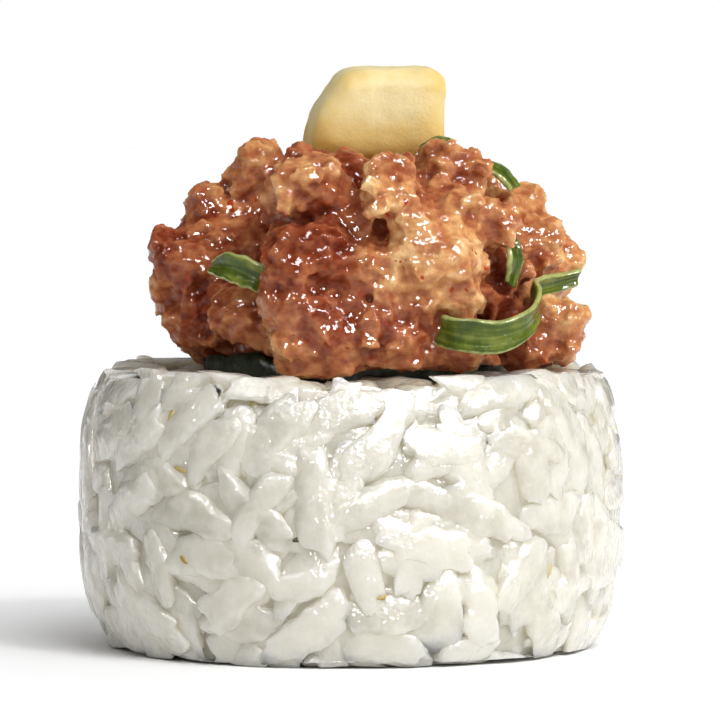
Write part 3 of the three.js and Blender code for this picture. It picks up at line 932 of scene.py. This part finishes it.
heap[:, 2] += LEFT_LIFT * lifted * np.clip((LIFTED_BELOW - heap[:, 2]) / LIFT_FADES_OVER, 0, 1)
move_points(tuna, heap)
print(count_of(tuna))

# %% Model one block of flesh
nothing_selected()
bpy.ops.mesh.primitive_cube_add(size=1 * MM)
block = bpy.context.object
bpy.ops.object.mode_set(mode="EDIT")
bpy.ops.mesh.select_all(action="SELECT")
bpy.ops.mesh.subdivide(number_cuts=2, smoothness=0.25)
bpy.ops.mesh.vertices_smooth(factor=0.25, repeat=1)
bpy.ops.object.mode_set(mode="OBJECT")
block_shape = points_of(block)
block_shape /= np.ptp(block_shape, axis=0)
print(count_of(block))


# %% Melt copies of the block into the heap
UNEVEN_FORMS = 0.1


def melt(name, copies, voxel):
    """Join copies of the block to the heap, and remesh all of it into one mass."""
    pile = joined_copies(name, block, copies)
    only(tuna)
    pile.select_set(True)
    bpy.ops.object.join()
    apply(tuna, "REMESH", mode="VOXEL", voxel_size=voxel * MM)
    apply(tuna, "SMOOTH", factor=0.5, iterations=1)
    print(len(copies), name + ",", count_of(tuna))


def turned_block(place, size, degrees, draws):
    """An uneven copy of the block, turned about the line of sight."""
    c, s = math.cos(math.radians(degrees)), math.sin(math.radians(degrees))
    turning = np.array([(c, 0, s), (0, 1, 0), (-s, 0, c)])
    uneven = 1 + draws.normal(0, UNEVEN_FORMS, (len(block_shape), 1))
    return block_shape * uneven * size @ turning.T + place


# %% The forms that stand out
# Each has its place, its size, and its turn in degrees as the camera sees it.
FORMS = {
    "brow": ((-3.1, -11.0, 35.4), (5.0, 4.6, 3.4), -6),
    "brow_back": ((-2.2, -6.4, 36.6), (6.4, 4.4, 3.0), 6),
    "under_brow": ((-1.6, -10.7, 33.0), (5.0, 3.0, 2.6), 0),
    "crumb": ((2.6, -13.5, 35.4), (3.5, 3.2, 3.8), 28),
    "crumb_crown": ((3.6, -11.8, 36.9), (2.4, 2.6, 2.2), 10),
    "dark_front": ((-2.7, -12.6, 30.3), (6.6, 5.6, 4.2), 8),
    "pale_front": ((-2.6, -12.2, 26.2), (6.8, 5.8, 4.8), -6),
    "sauced_front": ((4.7, -12.3, 29.5), (7.4, 5.6, 5.4), -24),
    "sauced_side": ((7.4, -10.8, 27.6), (4.4, 4.6, 5), 10),
    "foot": ((2.4, -12.4, 24.2), (6.4, 5, 4.4), 4),
    "hem": ((-2.5, -12.9, 23.1), (6.4, 4.6, 3.4), 0),
    "right_hem": ((7.2, -10.8, 23.4), (6, 5, 3.2), 0),
    "right_crown": ((7.6, -5.6, 36.3), (5.8, 5.4, 4.4), 20),
    "right_ledge": ((9.8, -9.4, 33.4), (4.6, 3.4, 2.2), 22),
    "right_flank": ((13.9, -2.0, 30.3), (4.2, 5, 4.6), 0),
    "right_spike": ((13.9, 0, 33.7), (1.5, 2.4, 3.2), -14),
    "right_horn": ((16.9, -0.8, 30.4), (2.4, 1.6, 1.1), 8),
    "right_foot": ((15.5, -6.8, 25.0), (4.2, 4, 4.8), 14),
    "left_peak": ((-7.3, 1, 37.0), (1.7, 2.6, 3.4), 16),
    "left_step": ((-10.3, 1, 33.4), (4.2, 4, 2.8), 26),
    "left_flank": ((-13.1, 0.5, 29.4), (3.4, 5, 5.4), 6),
    "left_foot": ((-11.5, 1.5, 24.6), (3.2, 4.5, 3.4), 10),
    "back_crest": ((-0.4, 9.4, 34.9), (5.4, 4.4, 3.4), 0),
}
FORMS_SEED = 41

draws = np.random.default_rng(FORMS_SEED)
forms = [turned_block(place, size, turn, draws) for place, size, turn in FORMS.values()]
melt("forms", np.array(forms), voxel=0.35)
heap, outward = points_of(tuna), normals_of(tuna)

# %% [markdown]
# ## Tuna: chopping
# The rest of the chopping is too much to place by hand. The same block is copied all over the heap in
# three sizes, from large to small: lumps, bits, and beads where the dressing is thick. Each copy is
# turned and sunk in its own way, and none may stand far out of the forms. Places are picked in a random
# order, and a place too close to an earlier one is skipped, which spreads the copies evenly without a
# visible pattern. Copies that would bury a shred are left out, and so are those in the dark hollows. A
# few single morsels that catch the eye are placed last.

# %% Where the dressing lies
# Zones of the heap: place, reach, and how much pale dressing covers the flesh there. The zones under the
# crumb and the brow and in the two hollows have next to none, which darkens them as painted shade.
ZONES = {
    "sauced_front": ((6, -14.5, 30.5), 4, 1.1),
    "sauced_crown": ((5.5, -11.5, 34.3), 2.2, 0.6),
    "crumb": ((2.6, -14, 35.6), 1.8, 0.85),
    "shade_under_crumb": ((3.0, -12.8, 32.7), 1.1, 0.0),
    "sauced_low": ((3.4, -15, 28), 2, 0.85),
    "brow": ((-3.4, -12, 36.4), 2.2, 0.75),
    "brow_side": ((0.4, -10.5, 35.6), 1.4, 0.2),
    "brow_back": ((-2, -7, 38), 2.2, 0.35),
    "under_brow": ((-2.8, -13, 33.1), 1.1, 0.0),
    "dark_front": ((-2.4, -15, 30.7), 2.7, 0.08),
    "pale_front": ((-3.4, -14.5, 26.4), 2.4, 0.5),
    "dark_foot": ((2.4, -14, 25), 2.2, 0.55),
    "middle_foot": ((5.4, -14, 25.3), 1.8, 0.55),
    "left_fold": ((-7.5, -9, 27), 3, 0.35),
    "left_flank": ((-14, -2, 29), 4.5, 0.38),
    "left_shoulder": ((-11, -2, 34), 3, 0.55),
    "shade_in_left_hollow": ((-8.3, -6, 33), 2.2, 0.0),
    "left_low": ((-12, -4, 25.5), 2.5, 0.0),
    "left_peak": ((-7, 0, 38), 2.6, 0.85),
    "grey_hollow": ((10, -10, 30), 1.8, 0.45),
    "shade_in_right_hollow": ((10.8, -9, 27), 2.2, 0.05),
    "right_crown": ((6.6, -7.5, 36), 2.2, 0.55),
    "right_brow": ((8.8, -7, 37.4), 1.6, 0.7),
    "right_ledge": ((9.6, -10.5, 33.9), 1.8, 0.8),
    "right_flank": ((15.4, -2, 31.5), 3.5, 0.95),
    "right_foot": ((17, -8, 25.5), 3, 1.05),
    "red_foot": ((14, -8, 23.4), 1.8, 0.1),
    "back_left": ((-8, 12, 29), 5, 0.3),
    "back_brow": ((-3, 9, 37), 4, 0.7),
    "back": ((1, 15, 29), 5, 0.65),
    "back_right": ((11, 11, 29), 5, 0.25),
}
COVER_ELSEWHERE = 0.5
FAINT = 0.02
print(len(ZONES), "zones of dressing")


def dressing_at(points):
    """How much pale dressing covers the flesh, blended between the zones."""
    places, reaches, covers = (np.array(column) for column in zip(*ZONES.values()))
    distance = np.linalg.norm(points[:, None] - places[None], axis=2)
    weights = np.exp(-(distance / reaches)**2)
    return (weights @ covers + FAINT * COVER_ELSEWHERE) / (weights.sum(axis=1) + FAINT)


# %% Pick places that keep their distance
def spread(points, spacing, seed):
    """Numbers of points that keep a distance from each other, picked in a random order."""
    order = np.random.default_rng(seed).permutation(len(points))
    kept = []
    cells = {}
    for number in order:
        cell = tuple((points[number] // spacing).astype(int))
        near = [other for dx in (-1, 0, 1) for dy in (-1, 0, 1) for dz in (-1, 0, 1)
                for other in cells.get((cell[0] + dx, cell[1] + dy, cell[2] + dz), ())]
        if all(np.sum((points[number] - points[other])**2) > spacing**2 for other in near):
            cells.setdefault(cell, []).append(number)
            kept.append(number)
    return np.array(kept)


# %% Keep copies from standing far out of the forms
STANDS_OUT = 0.7
DRAWN_IN = 0.8

heap_tree = tree_of(heap)


def settle(points):
    """Draw in the points that stand too far out of the forms' surface."""
    nearest = nearest_numbers(heap_tree, points)
    height = np.einsum("pi,pi->p", points - heap[nearest], outward[nearest])
    return points - outward[nearest] * (DRAWN_IN * np.maximum(height - STANDS_OUT, 0))[:, None]


# %% Cover the heap, from large to small
BIT_SIZES = {
    "lumps": dict(spacing=2.9, size=(4.8, 3.4, 2.6), sunk=(0.9, 1.8), voxel=0.3, seed=33),
    "bits": dict(spacing=1.6, size=(2.5, 1.6, 1.0), sunk=(0.3, 0.7), voxel=0.24, seed=32),
    "beads": dict(spacing=0.85, size=(0.9, 0.65, 0.6), sunk=(0.05, 0.3), voxel=0.2, seed=33),
}
SPREAD_SEED = 8
LOWEST_BIT = ROLL_HEIGHT + 0.8
DRESSING_IN_HOLLOWS = 0.05
DRESSING_FOR_BEADS = (0.3, 1.2)
SIZE_RANGE = (0.6, 1.3)
SHAPE_RANGE = (0.8, 1.2)
UNEVEN_BITS = 0.07
CLEAR_OF_SHREDS = 0.6


def cover_with(kind, spacing, size, sunk, voxel, seed):
    """Spread one size of copies over the heap. Gives the places that were picked."""
    draws = np.random.default_rng(seed)
    points, normals = points_of(tuna), normals_of(tuna)
    chosen = spread(points, spacing, SPREAD_SEED)
    chosen = chosen[points[chosen, 2] > LOWEST_BIT]
    needed = draws.uniform(*DRESSING_FOR_BEADS, len(chosen)) if kind == "beads" else DRESSING_IN_HOLLOWS
    chosen = chosen[dressing_at(points[chosen]) > needed]
    total = len(chosen)
    facing = draws.normal(0, 1, (total, 3))
    facing /= np.linalg.norm(facing, axis=1)[:, None]
    lengthwise = np.cross(facing, draws.normal(0, 1, (total, 3)))
    lengthwise /= np.linalg.norm(lengthwise, axis=1)[:, None]
    basis = np.stack([lengthwise, np.cross(facing, lengthwise), facing], axis=1)
    sizes = np.array(size) * draws.uniform(*SIZE_RANGE, (total, 1))
    sizes = sizes * draws.uniform(*SHAPE_RANGE, (total, 3))
    uneven = 1 + draws.normal(0, UNEVEN_BITS, (total, len(block_shape), 1))
    at = points[chosen] - normals[chosen] * draws.uniform(*sunk, (total, 1))
    shapes = block_shape[None] * uneven * sizes[:, None]
    copies = np.einsum("gpi,gij->gpj", shapes, basis) + at[:, None]
    from_shreds = np.linalg.norm(at[:, None] - shred_lines[None], axis=2).min(axis=1)
    copies = copies[from_shreds > sizes.mean(axis=1) / 2 + CLEAR_OF_SHREDS]
    melt(kind, settle(copies.reshape(-1, 3)).reshape(copies.shape), voxel)
    return at


bits_at = {kind: cover_with(kind, **values) for kind, values in BIT_SIZES.items()}

# %% Single morsels that catch the eye from the front
# Each has a place across and up, a size, a turn in degrees, and how far it stands out of the heap.
MORSELS = {
    "brow_ridge": (-3.2, 36.7, (2.6, 1.5, 1.4), 10, 0.1),
    "peg": (-4.9, 34.6, (1.2, 1.3, 2.4), 12, 0.6),
    "crumb_knob": (1.5, 35.9, (1.5, 1.2, 1.4), 30, 0.3),
    "crumb_foot": (2.0, 34.2, (2.2, 1.4, 1.1), -30, 0.2),
    "long_drop": (2.6, 28.6, (1.3, 1.0, 3.2), 14, 0.15),
    "right_drop": (11.9, 32.2, (1.2, 1.2, 2.3), 12, 0.4),
    "ledge_knob": (9.0, 34.6, (1.9, 1.3, 1.3), -18, 0.3),
    "flake": (1.5, 24.9, (1.6, 0.7, 2.6), 8, 0.15),
}
WELL_IN_FRONT = -60


def in_front(x, z, out):
    """The place where a line of sight from the front meets the heap, moved out by a length."""
    _, place, _, _ = tuna.ray_cast(Vector((x, WELL_IN_FRONT, z)) * MM, Vector((0, 1, 0)))
    return np.array(place) / MM - (0, out, 0)


morsels = np.array([
    turned_block(in_front(x, z, out), size, turn, draws) for x, z, size, turn, out in MORSELS.values()])
melt("morsels", morsels, voxel=0.2)
bpy.data.objects.remove(block)


# %% Fold a surface
def folds(name, size):
    """A texture of ridges and folds, with features of a given size in millimetres."""
    texture = bpy.data.textures.new(name, "MUSGRAVE")
    texture.musgrave_type = "RIDGED_MULTIFRACTAL"
    texture.noise_scale = size * MM
    texture.octaves = 3
    texture.noise_intensity = 0.5
    return texture


# %% Lighten the mesh, and fold its surface
SHARE_KEPT = 0.78

apply(tuna, "DECIMATE", ratio=SHARE_KEPT)
displace(tuna, folds("flesh_folds", 1.5), 0.45)
displace(tuna, folds("flesh_fibres", 0.7), 0.18)
print(count_of(tuna))


# %% Tell crests from hollows
def stands_out(piece, rounds):
    """How far each point stands out of a heavily smoothed copy of its piece, in millimetres."""
    only(piece)
    bpy.ops.object.duplicate()
    calm = bpy.context.object
    apply(calm, "SMOOTH", factor=0.5, iterations=rounds)
    heights = np.einsum("pi,pi->p", points_of(piece) - points_of(calm), normals_of(calm))
    bpy.data.objects.remove(calm)
    return heights


# %% A tone for each lump and bit, dressing by zone, and crests against hollows
BIT_TONE_SEED = 31
MORSEL_DRESSING = 0.25

surface = points_of(tuna)
for kind in ("lumps", "bits"):
    tones = np.random.default_rng(BIT_TONE_SEED).uniform(0, 1, len(bits_at[kind]))
    paint(tuna, kind, tones[nearest_numbers(tree_of(bits_at[kind]), surface)])
from_morsels = np.linalg.norm(surface[:, None] - morsels.mean(axis=1), axis=2).min(axis=1)
paint(tuna, "dressing", dressing_at(surface) + MORSEL_DRESSING * np.exp(-from_morsels**2))

# How far points stand out: crests get paler dressing, and hollows get painted shade.
crest = stands_out(tuna, rounds=60)
paint(tuna, "crest", crest)
print(f"crests and hollows from {crest.min():.2f} to {crest.max():.2f} mm")

# %% [markdown]
# ## Tuna: its finish
# Raw tuna is dark red to brown pink. The dressing is pale orange and clings to the crests. So one value,
# from flesh to dressing, is built from the zone, the bit, the crest and some noise, and a ramp of colours
# follows it. The crest term also paints shade into the hollows, and the zones under the brow and the crumb
# and in the hollows, with next to no dressing, paint shade there. Specks of red chilli show here and there.
# The wet coat is strongest where the dressing is thick. It has a relief of its own, which breaks the lamps'
# reflections into many small glints.

# %% Tuna material
CHILLI_RED = (0.36, 0.05, 0.01)

dressed_tuna = Finish(
    "dressed_tuna", Roughness=0.35, Subsurface_Weight=0.35, Subsurface_Scale=0.0008, Specular_IOR_Level=0.0,
    Coat_Roughness=0.05, Coat_IOR=1.35)
dressed_tuna.shader.inputs["Subsurface Radius"].default_value = (1.0, 0.35, 0.2)


def blend(finish, **shares):
    """Add up painted values, each by its share."""
    total = 0.0
    for name, share in shares.items():
        total = finish.math("ADD", finish.math("MULTIPLY", finish.painted(name), share), total)
    return total


patches = dressed_tuna.between(dressed_tuna.noise(1.3, 5, stretch=(1, 1, 1.5)), 0.27, 0.73)
# The crest term pales the crests, where dressing clings, and darkens the hollows as painted shade.
tone = dressed_tuna.math(
    "ADD", blend(dressed_tuna, lumps=0.18, bits=0.2, dressing=0.5, crest=0.5),
    dressed_tuna.math("MULTIPLY", patches, 0.32))
tone = dressed_tuna.math("SUBTRACT", tone, 0.11)
flesh = dressed_tuna.ramp(
    tone,
    (0.1, (0.11, 0.012, 0.004)),
    (0.28, (0.2, 0.038, 0.014)),
    (0.46, (0.32, 0.088, 0.036)),
    (0.62, (0.46, 0.165, 0.066)),
    (0.8, (0.62, 0.295, 0.115)),
    (0.98, (0.79, 0.5, 0.23)))
specks = dressed_tuna.between(dressed_tuna.noise(1.1, 2), 0.67, 0.72)
dressed_tuna.colour(dressed_tuna.mix(specks, flesh, CHILLI_RED))
ripple = dressed_tuna.noise(0.28, 2, stretch=(1.5, 1.5, 0.8))
dressed_tuna.bumps((dressed_tuna.noise(0.7, 3), 0.2), (ripple, 0.03))
thick = dressed_tuna.between(dressed_tuna.painted("dressing"), 0.3, 0.9)
wet = dressed_tuna.between(dressed_tuna.painted("dressing"), 0.0, 0.6, 0.4, 1.0)
dressed_tuna.join(wet, dressed_tuna.shader.inputs["Coat Weight"])
drops = dressed_tuna.math("MULTIPLY", dressed_tuna.noise(0.55, 0), thick)
dressed_tuna.bumps((dressed_tuna.noise(1.0, 1), 0.22), (drops, 0.1), onto="Coat Normal")
dress(tuna, dressed_tuna, "tuna", "tuna")

# %% [markdown]
# ## The filling inside the seaweed
# Only the cut under the roll shows it. A plug with soft edges and an uneven cut is enough.

# %% Model the filling
FILLING_RADIUS = NORI_RADIUS - 0.8
FILLING_HEIGHT = ROLL_HEIGHT - 0.4
FILLING_EDGE = 0.4
# The tuna's finish reads these values from the points. The filling has the same ones all over.
FILLING_TONES = {"lumps": 0.5, "bits": 0.5, "crest": 0, "dressing": 0.4}

nothing_selected()
bpy.ops.mesh.primitive_cylinder_add(
    vertices=96, radius=FILLING_RADIUS * MM, depth=FILLING_HEIGHT * MM,
    location=(0, 0, FILLING_HEIGHT / 2 * MM))
filling = bpy.context.object
filling.name = "tuna_filling"
bpy.ops.object.transform_apply(location=True)
bpy.ops.object.mode_set(mode="EDIT")
bpy.ops.mesh.select_all(action="SELECT")
bpy.ops.mesh.bevel(offset=FILLING_EDGE * MM, segments=2)
bpy.ops.object.mode_set(mode="OBJECT")
apply(filling, "REMESH", mode="VOXEL", voxel_size=0.6 * MM)
displace(filling, clouds("cut_flesh", 1.6), 0.5)
surface = points_of(filling)
surface[:, 2] = np.maximum(surface[:, 2], 0)
move_points(filling, surface)
for name, level in FILLING_TONES.items():
    paint(filling, name, np.full(len(surface), level))
dress(filling, dressed_tuna, "tuna")

# %% [markdown]
# ## Spring onion
# Each shred is a thin strip cut from a hollow leaf: green outside, with soft pale streaks along it and
# paler cut edges, and it is slightly troughed. A flat grid is laid along a smooth path, narrowed towards
# its ends, troughed across its width, and thickened. A shred that hangs free of the finished heap is
# moved in until it touches.

# %% Lay a grid along each path
SHRED_THICKNESS = 0.45
TROUGH = 0.28
RUFFLE = 0.05
RUFFLE_PACE = 0.7
END_SLANT = 0.25


def model_shred(name, path, across, widths, steps=40):
    """A strip along a path, lying across it in a given direction, with widths from its start to its end."""
    nothing_selected()
    bpy.ops.mesh.primitive_grid_add(x_subdivisions=steps - 1, y_subdivisions=8, size=1 * MM)
    shred = bpy.context.object
    shred.name = name
    flat = points_of(shred)
    row = np.rint((flat[:, 0] + 0.5) * (steps - 1)).astype(int)
    side = 2 * flat[:, 1]
    line = smooth_path(path, steps)
    tangent = np.gradient(line, axis=0)
    tangent /= np.linalg.norm(tangent, axis=1)[:, None]
    edge = np.array(across) - tangent * (tangent @ np.array(across))[:, None]
    edge /= np.linalg.norm(edge, axis=1)[:, None]
    face = np.cross(tangent, edge)
    width = np.interp(np.linspace(0, 1, steps), np.linspace(0, 1, len(widths)), widths)[row]
    ruffle = 1 + RUFFLE * np.sin(row * RUFFLE_PACE + len(name)) * np.sign(side)
    slant = END_SLANT * side[:, None] * tangent[row] * np.abs(2 * row / (steps - 1) - 1)[:, None]
    shape = line[row] + edge[row] * (side * width / 2 * ruffle)[:, None]
    shape += face[row] * (TROUGH * side**2)[:, None]
    move_points(shred, shape + slant)
    paint(shred, "side", side)
    paint(shred, "along", row / (steps - 1))
    apply(shred, "SOLIDIFY", thickness=SHRED_THICKNESS * MM, offset=0)
    apply(shred, "SUBSURF", levels=1, render_levels=1)
    displace(shred, clouds("leaf_ripple_" + name, 1.3), 0.2)
    return shred


# %% Settle a shred that hangs free of the heap
TOUCHING = 0.3
SUNK = 0.5

finished_heap = tree_of(points_of(tuna))


def settle_shred(shred):
    """Move a shred that nowhere touches the heap towards it, until it is sunk in a little."""
    points = points_of(shred)
    found = [finished_heap.find(point) for point in points]
    closest = int(np.argmin([distance for _, _, distance in found]))
    place, _, gap = found[closest]
    if gap > TOUCHING:
        move_points(shred, points + (np.array(place) - points[closest]) * (1 + SUNK / gap))
        print(f"{shred.name} hung {gap:.2f} mm free")


# %% Leaf material
CUT_EDGE_GREEN = (0.42, 0.44, 0.15)

leaf = Finish("spring_onion_leaf", Roughness=0.3, Subsurface_Weight=0.2, Subsurface_Scale=0.0005,
              Specular_IOR_Level=0.1, Coat_Weight=0.5, Coat_Roughness=0.1)
leaf.shader.inputs["Subsurface Radius"].default_value = (0.4, 1.0, 0.2)
side = leaf.painted("side")
veins = leaf.add("ShaderNodeTexNoise", noise_dimensions="2D", Scale=1.0, Detail=2.0)
where = leaf.add("ShaderNodeCombineXYZ", X=leaf.math("MULTIPLY", side, 2.4),
                 Y=leaf.math("MULTIPLY", leaf.painted("along"), 2.2))
leaf.join(where.outputs[0], veins.inputs["Vector"])
blotches = leaf.noise(1.6, 3)
shade = leaf.math(
    "ADD", leaf.math("MULTIPLY", veins.outputs["Fac"], 0.5), leaf.math("MULTIPLY", blotches, 0.5))
green = leaf.ramp(
    shade, (0.32, (0.024, 0.05, 0.005)), (0.5, (0.085, 0.125, 0.01)), (0.68, (0.22, 0.25, 0.03)))
ragged = leaf.math("ADD", leaf.math("ABSOLUTE", side, 0), leaf.math("MULTIPLY", leaf.noise(0.6, 2), 0.3))
leaf.colour(leaf.mix(leaf.between(ragged, 0.98, 1.2), green, CUT_EDGE_GREEN))
leaf.bumps((veins.outputs["Fac"], 0.1), (leaf.noise(0.35, 3), 0.08))

# %% Make all the shreds
for name, shred in all_shreds.items():
    piece = model_shred("shred_" + name, **shred)
    settle_shred(piece)
    dress(piece, leaf, "spring_onion", "spring_onion_" + name)

# %% [markdown]
# ## The yellow cube
# A soft block with one long sloping side. We cut the slope off a cube, bevel every edge in several
# segments, and remesh and smooth it, because a soft food has no crisp edge. It is pale and lets light in.
# Its colour is deeper along its edges, and paler towards its top as a painted highlight, which leaves its
# foot deepest. A heavily smoothed copy tells how far each point stands out at an edge.

# %% Model the cube
low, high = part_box("yellow_cube")
CUBE_MIDDLE = (low + high) / 2
CUBE_SIZE = Vector((10.6, 8.8, 7.5)) * MM
CUBE_TURN = 0.1
CUBE_EDGE = 1.5
SLOPE_AT = CUBE_MIDDLE + Vector((-5.45, 0, -0.75)) * MM
SLOPE_FACING = Vector((-4.5, -0.45, 2.8)).normalized()

nothing_selected()
bpy.ops.mesh.primitive_cube_add(size=1, location=CUBE_MIDDLE, rotation=(0, 0, CUBE_TURN), scale=CUBE_SIZE)
cube = bpy.context.object
cube.name = "soft_yellow_cube"
bpy.ops.object.transform_apply(location=True, rotation=True, scale=True)
bpy.ops.object.mode_set(mode="EDIT")
bpy.ops.mesh.select_all(action="SELECT")
bpy.ops.mesh.bisect(plane_co=SLOPE_AT, plane_no=SLOPE_FACING, use_fill=True, clear_outer=True)
bpy.ops.mesh.select_all(action="SELECT")
bpy.ops.mesh.bevel(offset=CUBE_EDGE * MM, segments=4, affect="EDGES")
bpy.ops.object.mode_set(mode="OBJECT")
apply(cube, "REMESH", mode="VOXEL", voxel_size=0.3 * MM)
apply(cube, "SMOOTH", factor=0.5, iterations=12)
displace(cube, clouds("soft_dents", 3.5), 0.5)
displace(cube, clouds("soft_pores", 0.8), 0.06)
surface = points_of(cube)
print(count_of(cube))
paint(cube, "rim", stands_out(cube, rounds=90))
paint(cube, "height", (surface[:, 2] - surface[:, 2].min()) / np.ptp(surface[:, 2]))

# %% Cube material
soft_yellow = Finish(
    "soft_yellow", Roughness=0.5, Subsurface_Weight=0.5, Subsurface_Scale=0.0015, Specular_IOR_Level=0.15)
soft_yellow.shader.inputs["Subsurface Radius"].default_value = (1.0, 0.8, 0.35)
mottle_and_highlight = soft_yellow.math("ADD", soft_yellow.math("MULTIPLY", soft_yellow.noise(5, 2), 0.35),
                          soft_yellow.math("MULTIPLY", soft_yellow.noise(1.1, 3), 0.2))
deep_rim = soft_yellow.between(soft_yellow.painted("rim"), 0.0, 0.5, 0, 0.25)
# Paler towards the top: a painted highlight.
painted_top_highlight = soft_yellow.between(soft_yellow.painted("height"), 0.15, 0.65, 0, 0.35)
mottle_and_highlight = soft_yellow.math("ADD", soft_yellow.math("SUBTRACT", mottle_and_highlight, deep_rim), painted_top_highlight)
soft_yellow.colour(soft_yellow.ramp(
    mottle_and_highlight, (0.1, (0.64, 0.38, 0.09)), (0.35, (0.74, 0.53, 0.18)), (0.6, (0.82, 0.69, 0.36))))
soft_yellow.bumps((soft_yellow.noise(1.0, 3), 0.06), (soft_yellow.noise(0.25, 2), 0.02))
dress(cube, soft_yellow, "yellow_cube", "yellow_cube")
